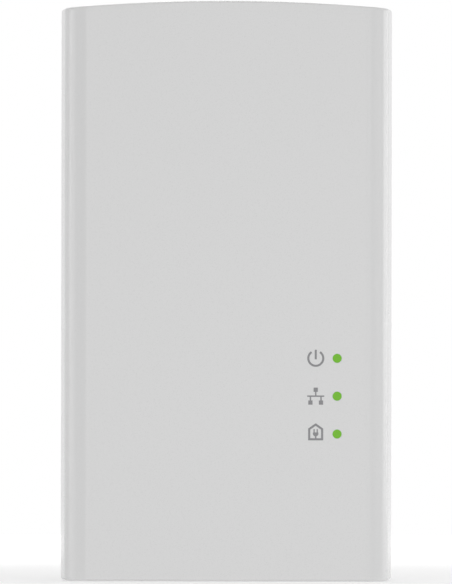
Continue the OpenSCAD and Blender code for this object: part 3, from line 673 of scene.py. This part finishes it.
class Screws(bpy.types.Operator):
    """Cross-recessed screws that close the housing and hold the two boards"""
    bl_idname = "adapter.screws"
    bl_label = "Screws"
    bl_options = {"REGISTER", "UNDO"}

    # The thread's root as a share of its crest, and the tip's flat as a share of the root
    root = 0.82
    tip_flat = 0.6

    # Along the shank: the tip's taper, the first groove, what the grooves leave plain, the neck
    taper = 0.6 * MM
    first_groove = 0.7 * MM
    plain = 1.4 * MM
    neck = 0.25 * MM

    # One turn of the thread: its pitch, the crest's two edges and where the root starts again
    pitch = 0.9 * MM
    crest_start = 0.35 * MM
    crest_end = 0.45 * MM
    next_root = 0.8 * MM

    # The head: the chamfer below it, its dome and its recess as shares of its width and height
    chamfer = 0.1 * MM
    dome = ((1, 0.45), (0.93, 0.7), (0.75, 0.9), (0.5, 1))
    recess_length = 0.56
    recess_width = 0.15
    recess_middle = 0.98

    def screw(self, name, head_w, head_h, shank_w, shank_l):
        """One screw along Z with its seat at the origin."""
        head, crest = head_w / 2, shank_w / 2
        root = crest * self.root
        tip = -shank_l
        profile = [(0, tip), (root * self.tip_flat, tip), (root, tip + self.taper)]
        for i in range(int((shank_l - self.plain) / self.pitch)):
            z = tip + self.first_groove + i * self.pitch
            profile += [(root, z), (crest, z + self.crest_start), (crest, z + self.crest_end),
                        (root, z + self.next_root)]
        profile += [(crest, -self.neck), (crest, 0), (head - self.chamfer, 0), (head, self.chamfer)]
        profile += [(head * r, head_h * z) for r, z in self.dome]
        profile.append((0, head_h))
        piece = new_object(name, mesh_of(revolve(profile), name))
        arm = (head_w * self.recess_length, head_w * self.recess_width, head_h)
        middle = (0, 0, head_h * self.recess_middle)
        cut(piece, [block(arm, middle, turn) for turn in (0, QUARTER_TURN)])
        smooth(piece.data, SCREW_CREASE)
        return piece

    def execute(self, context):
        look = context.scene.adapter_screws
        zinc = plated("zinc_plate", look.zinc_tone, roughness=0.38, lines=(2500.0, 2500.0, 2500.0))
        corners = shared_tree("at_rectangle_corners", make_corners_tree)
        cover = (look.cover_head, look.cover_head_height, look.cover_shank)
        board = (look.board_head, look.board_head_height, look.board_shank)
        sets = (("cover_screws", cover, -1), ("main_board_screws", board, -1),
                ("power_board_screws", board, 1))
        for node, (head_w, head_h, shank_w), facing in sets:
            low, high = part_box(node)
            piece = self.screw(node + "_set", head_w, head_h, shank_w, high.y - low.y - head_h)
            piece.data.transform(Matrix.Rotation(facing * QUARTER_TURN, 4, "X"))
            seat = high.y - head_h if facing < 0 else low.y + head_h
            middle = (low + high) / 2
            repeat(piece, corners, Span_X=high.x - low.x - head_w, Span_Z=high.z - low.z - head_w,
                   Centre=(middle.x, seat, middle.z), Material=zinc)
            place(piece, "housing", "screw_steel", None, node)
        return {"FINISHED"}


class Plug(bpy.types.Operator):
    """Plug block, flat blades and earth pin"""
    bl_idname = "adapter.plug"
    bl_label = "Plug"
    bl_options = {"REGISTER", "UNDO"}

    def execute(self, context):
        look = context.scene.adapter_plug
        plastic = moulded("plug_block_moulding", look.block_tone, roughness=0.5, grain=0.28 * MM,
                          bump=0.01 * MM)
        nickel = plated("nickel_plate", look.plate_tone, roughness=0.24, lines=(5000.0, 250.0, 5000.0))
        insert = finished_copy("plug_insert", "plug_block", look.block_edge, segments=3)
        place(insert, "housing", "plug_block", plastic, "plug_insert")
        for node in ("line_blade", "neutral_blade"):
            blade = finished_copy(node, node + "_plated", look.blade_edge, segments=3)
            place(blade, "housing", "plug_metal", nickel, node)
        pin = finished_copy("earth_pin", "earth_pin_plated", edge=0)
        place(pin, "housing", "plug_metal", nickel, "earth_pin")
        return {"FINISHED"}


class LightWindows(bpy.types.Operator):
    """Lit windows in the face and the lamps behind them"""
    bl_idname = "adapter.light_windows"
    bl_label = "Light windows"
    bl_options = {"REGISTER", "UNDO"}

    def execute(self, context):
        look = context.scene.adapter_lights
        tint = [v * look.window_tint for v in look.window_tone]
        glow = moulded("lit_window", tint, roughness=0.4, grain=0.4 * MM, bump=0.001 * MM, spread=0.05,
                       Specular_IOR_Level=0.05, Emission_Color=look.window_tone,
                       Emission_Strength=look.window_glow)
        dress(glow, "light_guide")
        lamp = moulded("lamp_cap", (0.75, 0.8, 0.6), roughness=0.25, grain=0.3 * MM, bump=0.001 * MM,
                       spread=0.05)
        dress(lamp, "status_lights")
        return {"FINISHED"}


class PrintedSigns(bpy.types.Operator):
    """Power, network and house signs printed beside the windows"""
    bl_idname = "adapter.printed_signs"
    bl_label = "Printed signs"
    bl_options = {"REGISTER", "UNDO"}

    # Each sign is drawn from its size s and the width w of its lines

    @staticmethod
    def power(ink, s, w):
        """An open ring with a bar in its gap."""
        steps = 40
        gap = math.radians(34)
        sweep = 2 * math.pi - 2 * gap
        angles = [math.pi / 2 + gap + sweep * i / steps for i in range(steps + 1)]
        middle, half = s / 2 - w / 2, w / 2
        outer, inner = ([(r * math.cos(a), r * math.sin(a)) for a in angles]
                        for r in (middle + half, middle - half))
        ink.band(outer, inner, closed=False)
        low, high = -0.06 * s, 0.5 * s
        ink.fill([(-half, low), (half, low), (half, high), (-half, high)])

    @staticmethod
    def network(ink, s, w):
        """A box above a line, from which two more boxes hang."""
        box, line, branch = 0.125 * s, 0.34 * w, 0.31 * s
        half, top, foot = 0.5 * s, 0.5 * s, -0.25 * s
        right = [(line, line), (half, line), (half, -line), (branch + line, -line),
                 (branch + line, foot), (branch + box, foot), (branch + box, foot - 2 * box),
                 (branch - box, foot - 2 * box), (branch - box, foot), (branch - line, foot),
                 (branch - line, -line)]
        left = [(-x, z) for x, z in reversed(right)]
        neck = top - 2 * box
        head = [(-line, neck), (-box, neck), (-box, top), (box, top), (box, neck), (line, neck)]
        ink.fill(head + right + left)

    @staticmethod
    def house(ink, s, w):
        """A house with an upright two-pin plug in it."""
        half, eave, ridge, foot = 0.44 * s, 0.32 * s, 0.63 * s, -0.37 * s
        outer = [(-half, foot), (half, foot), (half, eave), (0, ridge), (-half, eave)]
        slope = math.atan2(ridge - eave, half)
        drop = w / math.cos(slope)
        inner_eave = eave + w * math.tan(slope) - drop
        wall, sill = half - w, foot + w
        inner = [(-wall, sill), (wall, sill), (wall, inner_eave), (0, ridge - drop),
                 (-wall, inner_eave)]
        ink.band(outer, inner, closed=True)
        steps = 8
        body, low, stem = 0.16 * s, 0.02 * s, 0.36 * w
        pin, side = 0.09 * s, 0.3 * w
        cheek, tip = low + 0.07 * s, low + 0.27 * s
        sweep = math.acos(stem / body)
        left = [math.pi + sweep * i / steps for i in range(steps + 1)]
        right = [2 * math.pi - a + math.pi for a in reversed(left)]
        left_arc, right_arc = ([(body * math.cos(a), low + body * math.sin(a)) for a in angles]
                               for angles in (left, right))
        right_pin = [(pin + side, cheek), (pin + side, tip), (pin - side, tip), (pin - side, cheek)]
        left_pin = [(-x, z) for x, z in reversed(right_pin)]
        ink.fill(left_arc + [(-stem, sill), (stem, sill)] + right_arc + [(body, cheek)]
                 + right_pin + left_pin + [(-body, cheek)])

    def execute(self, context):
        look = context.scene.adapter_lights
        low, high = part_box("light_guide")
        lamps_low, lamps_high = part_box("status_lights")
        x = (low.x + high.x) / 2 - look.sign_gap
        middle = (lamps_low.z + lamps_high.z) / 2
        pitch = (lamps_high.z - lamps_low.z - look.lamp_height) / 2
        grey = moulded("grey_ink", look.ink_tone, roughness=0.5, grain=0.1 * MM, bump=0.001 * MM,
                       spread=0.04, Specular_IOR_Level=0.25)
        signs = (("power_sign", self.power, 1), ("network_sign", self.network, 0),
                 ("house_sign", self.house, -1))
        for name, draw, step in signs:
            ink = Ink(x, low.y, middle + step * pitch, look.ink_height)
            draw(ink, look.sign_size, look.stroke)
            place(new_object(name, ink.mesh(name)), "housing", "black_moulding", grey)
        return {"FINISHED"}


class Buttons(bpy.types.Operator):
    """Pair key, reset plunger and their push switches"""
    bl_idname = "adapter.buttons"
    bl_label = "Buttons"
    bl_options = {"REGISTER", "UNDO"}

    def execute(self, context):
        look = context.scene.adapter_housing
        key = finished_copy("pair_button", "pair_key_cap", look.key_edge, segments=3)
        satin = moulded("satin_key_moulding", look.key_tone, roughness=0.4, grain=0.2 * MM,
                        bump=0.002 * MM)
        place(key, "pair_key", "button_cap", satin, "pair_button")
        ivory = moulded("ivory_plunger", (0.78, 0.74, 0.62), roughness=0.4)
        dress(ivory, "pair_plunger", "reset_plunger")
        case = moulded("switch_case", (0.03, 0.03, 0.032), roughness=0.5)
        dress(case, "pair_switch", "reset_switch")
        return {"FINISHED"}


class NetworkJack(bpy.types.Operator):
    """Network jack: tinned shield, moulded insert and sprung contacts"""
    bl_idname = "adapter.network_jack"
    bl_label = "Network jack"
    bl_options = {"REGISTER", "UNDO"}

    def execute(self, context):
        look = context.scene.adapter_jack
        tin = plated("tinned_sheet", look.shield_tone, roughness=0.34, lines=(400.0, 400.0, 5000.0))
        shield = finished_copy("jack_shield", "jack_shield_folded", look.shield_edge)
        place(shield, "housing", "jack_metal", tin, "jack_shield")
        black = moulded("jack_moulding", (0.022, 0.023, 0.025), roughness=0.42)
        insert = finished_copy("jack_insert", "jack_insert_moulding", look.insert_edge, segments=1)
        place(insert, "housing", "black_moulding", black, "jack_insert")
        gold = plated("gold_flash", look.contact_tone, roughness=0.22, lines=(5000.0, 5000.0, 300.0))
        low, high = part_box("jack_contacts")
        half = look.contact_thick / 2
        tail, fold = high.y - half, low.z + half
        route = ((tail, high.z), (tail, fold), (tail - look.contact_fold, fold),
                 (low.y + half, low.z + look.contact_reach))
        bm = bmesh.new()
        points = [bm.verts.new((0, y, z)) for y, z in route]
        for a, b in zip(points, points[1:]):
            bm.edges.new((a, b))
        contacts = new_object("jack_contact_row", mesh_of(bm, "jack_contact_row"))
        repeat(contacts, shared_tree("row_of_strips", make_strips_tree), Count=look.contact_count,
               Pitch=look.contact_pitch, Width=look.contact_width, Thickness=look.contact_thick,
               Bend_Radius=look.contact_fold, Bend_Steps=5, Material=gold)
        place(contacts, "housing", "gold_contact", None, "jack_contacts")
        dress(gold, "board_link_pins")
        return {"FINISHED"}


class BoardParts(bpy.types.Operator):
    """Both boards, the parts on the main board and the dark mouldings and cores of both"""
    bl_idname = "adapter.board_parts"
    bl_label = "Boards and chips"
    bl_options = {"REGISTER", "UNDO"}

    def execute(self, context):
        group = shared_tree("solder_mask", make_board_group)
        board = finish_with("solder_mask_board", group, {}, bump=0.02 * MM, Roughness=0.35)
        dress(board, "main_board", "power_board")
        chip = moulded("chip_moulding", (0.02, 0.02, 0.021), roughness=0.5, grain=0.12 * MM,
                       bump=0.002 * MM)
        dress(chip, "powerline_chip", "memory_chip", "flash_chip", "ethernet_chip", "line_driver_chip",
              "ethernet_transformer", "board_link_bars", "bridge_rectifier", "power_controller",
              "optocoupler", "output_rectifier", "transformer_bobbin")
        dress(plated("crystal_can", (0.7, 0.69, 0.66), roughness=0.25), "clock_crystal")
        aluminium = plated("extruded_aluminium", (0.6, 0.6, 0.62), roughness=0.4,
                           lines=(6000.0, 6000.0, 200.0))
        dress(aluminium, "heat_sink")
        dress(moulded("thermal_gum", (0.4, 0.5, 0.6), roughness=0.7), "thermal_pad")
        film = moulded("polyester_film", (0.75, 0.73, 0.62), roughness=0.3, grain=0.8 * MM)
        dress(film, "insulator_sheet")
        ferrite = moulded("ground_ferrite", (0.05, 0.05, 0.052), roughness=0.6, grain=0.15 * MM,
                          bump=0.006 * MM, spread=0.15)
        dress(ferrite, "supply_inductor", "choke_core", "transformer_core", "coupling_transformer")
        return {"FINISHED"}


class PowerParts(bpy.types.Operator):
    """Wound, wrapped and dipped parts on the power board"""
    bl_idname = "adapter.power_parts"
    bl_label = "Power parts"
    bl_options = {"REGISTER", "UNDO"}

    def execute(self, context):
        wire = plated("enamelled_wire", (0.55, 0.24, 0.08), lines=(3000.0, 3000.0, 3000.0),
                      bump=0.02 * MM)
        dress(wire, "choke_windings")
        tape = moulded("yellow_tape", (0.75, 0.55, 0.06), roughness=0.35)
        dress(tape, "transformer_winding", "x_capacitor")
        dip = moulded("blue_dip", (0.04, 0.13, 0.36), roughness=0.35, grain=0.6 * MM, bump=0.02 * MM)
        dress(dip, "varistor", "y_capacitor")
        sleeve = moulded("shrink_sleeve", (0.02, 0.03, 0.07), roughness=0.3)
        dress(sleeve, "bulk_capacitors", "output_capacitors")
        dress(moulded("fuse_case", (0.1, 0.045, 0.02), roughness=0.4), "fuse")
        return {"FINISHED"}


# Studio

# Each lamp: degrees left of the camera's line, distance and height in metres, (width, height), watts
LAMPS = {
    "front_softbox": (0, 1.5, -0.03, (0.3, 0.9), 1.75),
    "right_front_softbox": (-20, 1.2, 0.0, (0.4, 1.2), 2.0),
    "right_softbox": (-60, 1.2, 0.0, (1.1, 1.2), 2.5),
    "right_side_softbox": (-110, 1.2, -0.4, (0.4, 1.2), 4.25),
    "right_rear_strip": (-135, 1.2, -0.4, (0.25, 1.2), 2.25),
    "left_softbox": (75, 1.2, 0.0, (0.25, 1.2), 2.0),
    "left_strip": (95, 1.2, -0.4, (0.25, 1.2), 3.5),
    "left_rear_strip": (125, 1.2, -0.4, (0.2, 1.2), 0.5),
    "top_softbox": (0, 0.3, 1.2, (1.2, 1.2), 5.0),
    "floor_bounce": (0, 0.7, -0.7, (1.2, 0.6), 3.5),
    "rear_high_softbox": (180, 1.0, 1.1, (1.2, 0.6), 5.0),
}

# Floor and camera, in metres, and the picture's height in pixels
FLOOR_RADIUS = 0.7
GLOW_NEAR = 0.12
GLOW_FAR = 0.6
VIEW_END = 20.0
IMAGE_HEIGHT = 584


def shown_rays(tree):
    """1 for what the camera and reflections see, 0 for light that falls on a surface."""
    rays = tree.nodes.new("ShaderNodeLightPath").outputs
    seen = math_node(tree, "MAXIMUM", rays["Is Camera Ray"], rays["Is Transmission Ray"])
    return math_node(tree, "MAXIMUM", seen, rays["Is Glossy Ray"])


class Stage(bpy.types.Operator):
    """Studio floor, soft lights and the camera"""
    bl_idname = "adapter.stage"
    bl_label = "Stage"
    bl_options = {"REGISTER", "UNDO"}

    def paper(self, look):
        """Pale paper that glows to white away from the object and is clear from below."""
        made = bpy.data.materials.new("studio_paper")
        made.use_nodes = True
        tree = made.node_tree
        link = tree.links.new
        shader = tree.nodes["Principled BSDF"]
        for label, value in (("Base Color", look.floor_tone), ("Roughness", 0.9),
                             ("Specular IOR Level", 0.0), ("Emission Color", (1, 1, 1))):
            set_socket(shader.inputs[label], value)
        reach = vector_node(tree, "LENGTH")
        link(object_place(tree), reach.inputs[0])
        fade = tree.nodes.new("ShaderNodeMapRange")
        fade.interpolation_type = "SMOOTHSTEP"
        link(reach.outputs["Value"], fade.inputs["Value"])
        for label, value in (("From Min", GLOW_NEAR), ("From Max", GLOW_FAR),
                             ("To Min", look.floor_glow), ("To Max", 1.0)):
            fade.inputs[label].default_value = value
        glow = math_node(tree, "MULTIPLY", shown_rays(tree), fade.outputs["Result"])
        link(glow, shader.inputs["Emission Strength"])
        clear = tree.nodes.new("ShaderNodeBsdfTransparent")
        side = tree.nodes.new("ShaderNodeMixShader")
        link(tree.nodes.new("ShaderNodeNewGeometry").outputs["Backfacing"], side.inputs[0])
        link(shader.outputs[0], side.inputs[1])
        link(clear.outputs[0], side.inputs[2])
        link(side.outputs[0], tree.nodes["Material Output"].inputs["Surface"])
        return made

    def floor(self, look, level):
        """A round floor that takes shadows, shows in reflections and bounces no light."""
        bm = bmesh.new()
        bmesh.ops.create_circle(bm, cap_ends=True, segments=96, radius=FLOOR_RADIUS)
        bmesh.ops.translate(bm, vec=(0, 0, level - look.floor_gap), verts=bm.verts)
        floor = new_object("studio_floor", mesh_of(bm, "studio_floor"))
        floor.visible_shadow = False
        floor.visible_diffuse = False
        floor.data.materials.append(self.paper(look))

    def world(self, context, look):
        """White to the camera and to reflections, and a softer even light on everything else."""
        world = bpy.data.worlds.new("studio_air")
        context.scene.world = world
        world.use_nodes = True
        tree = world.node_tree
        background = tree.nodes["Background"]
        set_socket(background.inputs["Color"], (1, 1, 1))
        rest = math_node(tree, "MULTIPLY", shown_rays(tree), 1 - look.air_light)
        strength = math_node(tree, "ADD", rest, look.air_light)
        tree.links.new(strength, background.inputs["Strength"])

    def lamps(self, aim):
        """Soft lamps round the object that the camera doesn't see."""
        for name, (angle, distance, height, size, power) in LAMPS.items():
            light = bpy.data.lights.new(name, "AREA")
            light.shape = "RECTANGLE"
            light.size, light.size_y = size
            light.energy = power
            turn = math.radians(angle)
            at = Vector((-distance * math.sin(turn), -distance * math.cos(turn), height))
            lamp = new_object(name, light)
            lamp.location = at
            lamp.rotation_euler = (aim - at).to_track_quat("-Z", "Y").to_euler()
            lamp.visible_camera = False

    def camera(self, context, look, low, high):
        """A far camera on the face, with the housing's top just below the picture's edge."""
        data = bpy.data.cameras.new("camera")
        data.lens = data.sensor_width * look.camera_distance / (IMAGE_HEIGHT * look.pixel)
        data.clip_end = VIEW_END
        nearer = 1 - (high.y - low.y) / look.camera_distance
        level = high.z + look.top_gap - IMAGE_HEIGHT / 2 * look.pixel * nearer
        camera = new_object("camera", data)
        camera.location = ((low.x + high.x) / 2 - look.side_shift, high.y - look.camera_distance, level)
        camera.rotation_euler = (QUARTER_TURN, look.camera_roll, 0)
        context.scene.camera = camera

    def execute(self, context):
        look = context.scene.adapter_stage
        low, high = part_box("front_cover")
        self.floor(look, low.z)
        self.world(context, look)
        self.lamps((low + high) / 2)
        self.camera(context, look, low, high)
        context.scene.view_settings.view_transform = "Standard"
        return {"FINISHED"}


OPERATORS = (FrontShell, RearShell, Screws, Plug, LightWindows, PrintedSigns, Buttons, NetworkJack,
             BoardParts, PowerParts, Stage)


class AdapterPanel(bpy.types.Panel):
    """Lists the adapter's settings and the operators that make its pieces"""
    bl_idname = "ADAPTER_PT_pieces"
    bl_label = "Powerline adapter"
    bl_space_type = "VIEW_3D"
    bl_region_type = "UI"
    bl_category = "Adapter"

    def draw(self, context):
        for name, group in SETTINGS.items():
            box = self.layout.box()
            box.label(text=group.__doc__)
            for prop in group.__annotations__:
                box.prop(getattr(context.scene, name), prop)
        for operator in OPERATORS:
            self.layout.operator(operator.bl_idname)


CLASSES = (*SETTINGS.values(), *OPERATORS, AdapterPanel)


def register():
    """Registers the classes and hangs their settings on the scene."""
    for kind in CLASSES:
        bpy.utils.register_class(kind)
    for name, group in SETTINGS.items():
        setattr(bpy.types.Scene, name, PointerProperty(type=group))


def unregister():
    """Takes away what register added, in reverse order."""
    for name in SETTINGS:
        delattr(bpy.types.Scene, name)
    for kind in reversed(CLASSES):
        bpy.utils.unregister_class(kind)


def main():
    """Builds every piece and the stage."""
    register()
    for operator in OPERATORS:
        family, name = operator.bl_idname.split(".")
        getattr(getattr(bpy.ops, family), name)()


if __name__ == "__main__":
    main()
